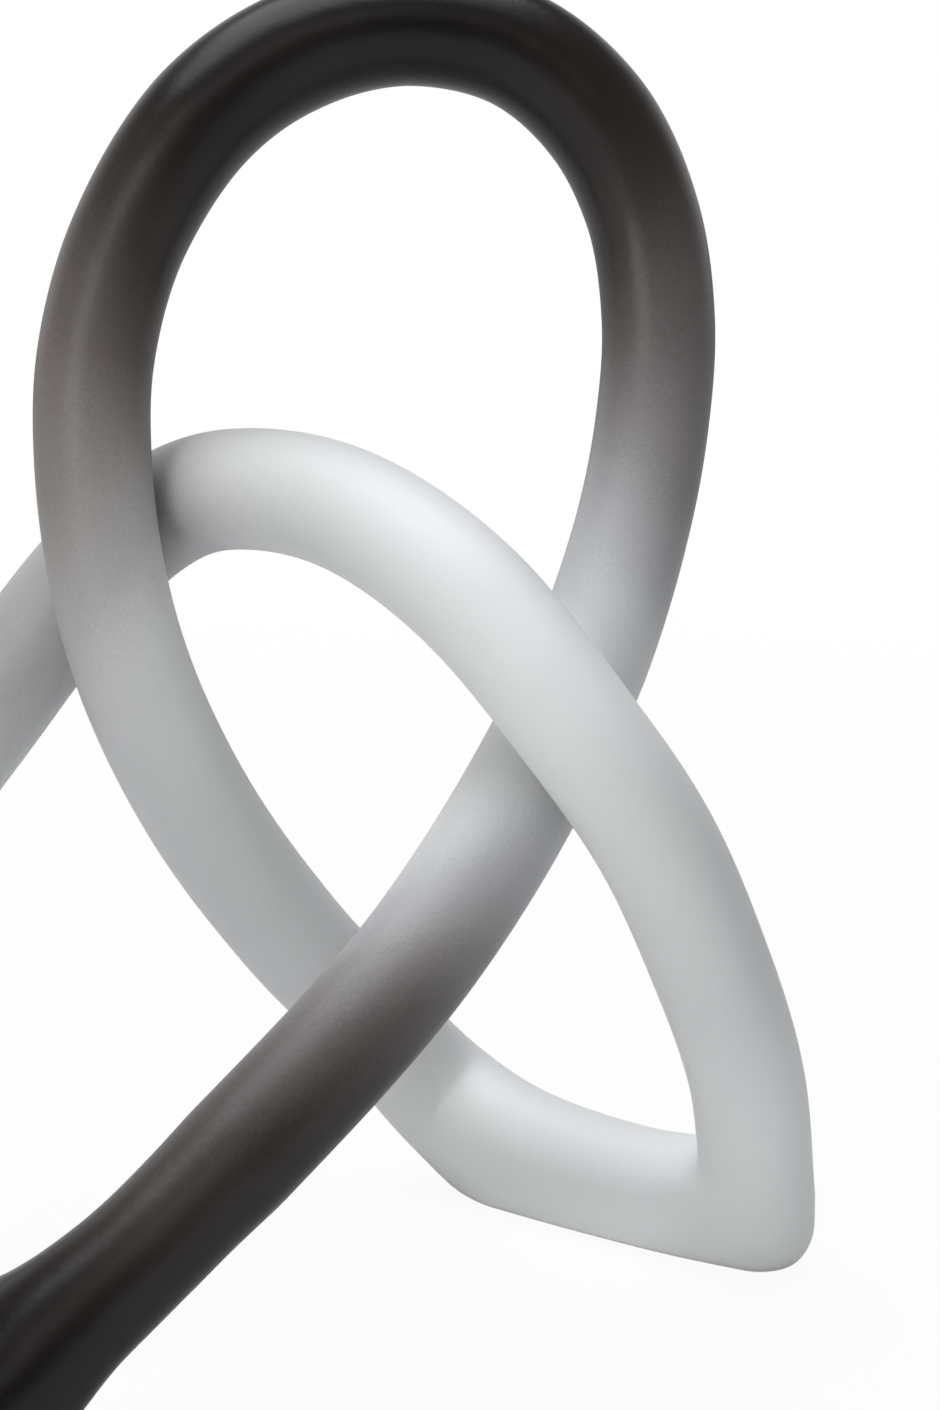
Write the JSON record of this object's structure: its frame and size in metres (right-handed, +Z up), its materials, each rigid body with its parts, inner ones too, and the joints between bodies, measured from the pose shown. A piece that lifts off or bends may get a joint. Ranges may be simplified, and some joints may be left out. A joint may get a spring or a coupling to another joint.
{
  "type": "abstract knot sculpture",
  "caption": "Free-standing display ornament: a thick round bar loops over and under itself in a knot, lacquered from black to pale grey, standing on flat feet with felt pads.",
  "frame": {"origin": "on the table, under the middle of the object's box", "axes": "+Z up, -Y towards the viewer in front, +X to that viewer's right"},
  "size_m": [0.2661, 0.2423, 0.3293],
  "materials": {
    "lacquer_pale": "satin lacquer over cast resin, pale grey with a cool cast",
    "lacquer_faded": "satin lacquer over cast resin, faded from black at the top of the crown to pale grey at both ends",
    "lacquer_dark": "satin lacquer over cast resin, faded from black along the lower bar to pale grey at both ends",
    "pin_steel": "ground steel dowel",
    "pad_felt": "pressed pale felt"
  },
  "bodies": {
    "root": {"right_loop": "lacquer_pale", "crown_loop": "lacquer_faded", "left_loop": "lacquer_dark", "dowel_pin_left": "pin_steel", "dowel_pin_crown": "pin_steel", "dowel_pin_right": "pin_steel", "felt_pad_right_front": "pad_felt", "felt_pad_right_back": "pad_felt", "felt_pad_left_front": "pad_felt", "felt_pad_left_back": "pad_felt"}
  },
  "joints": []
}
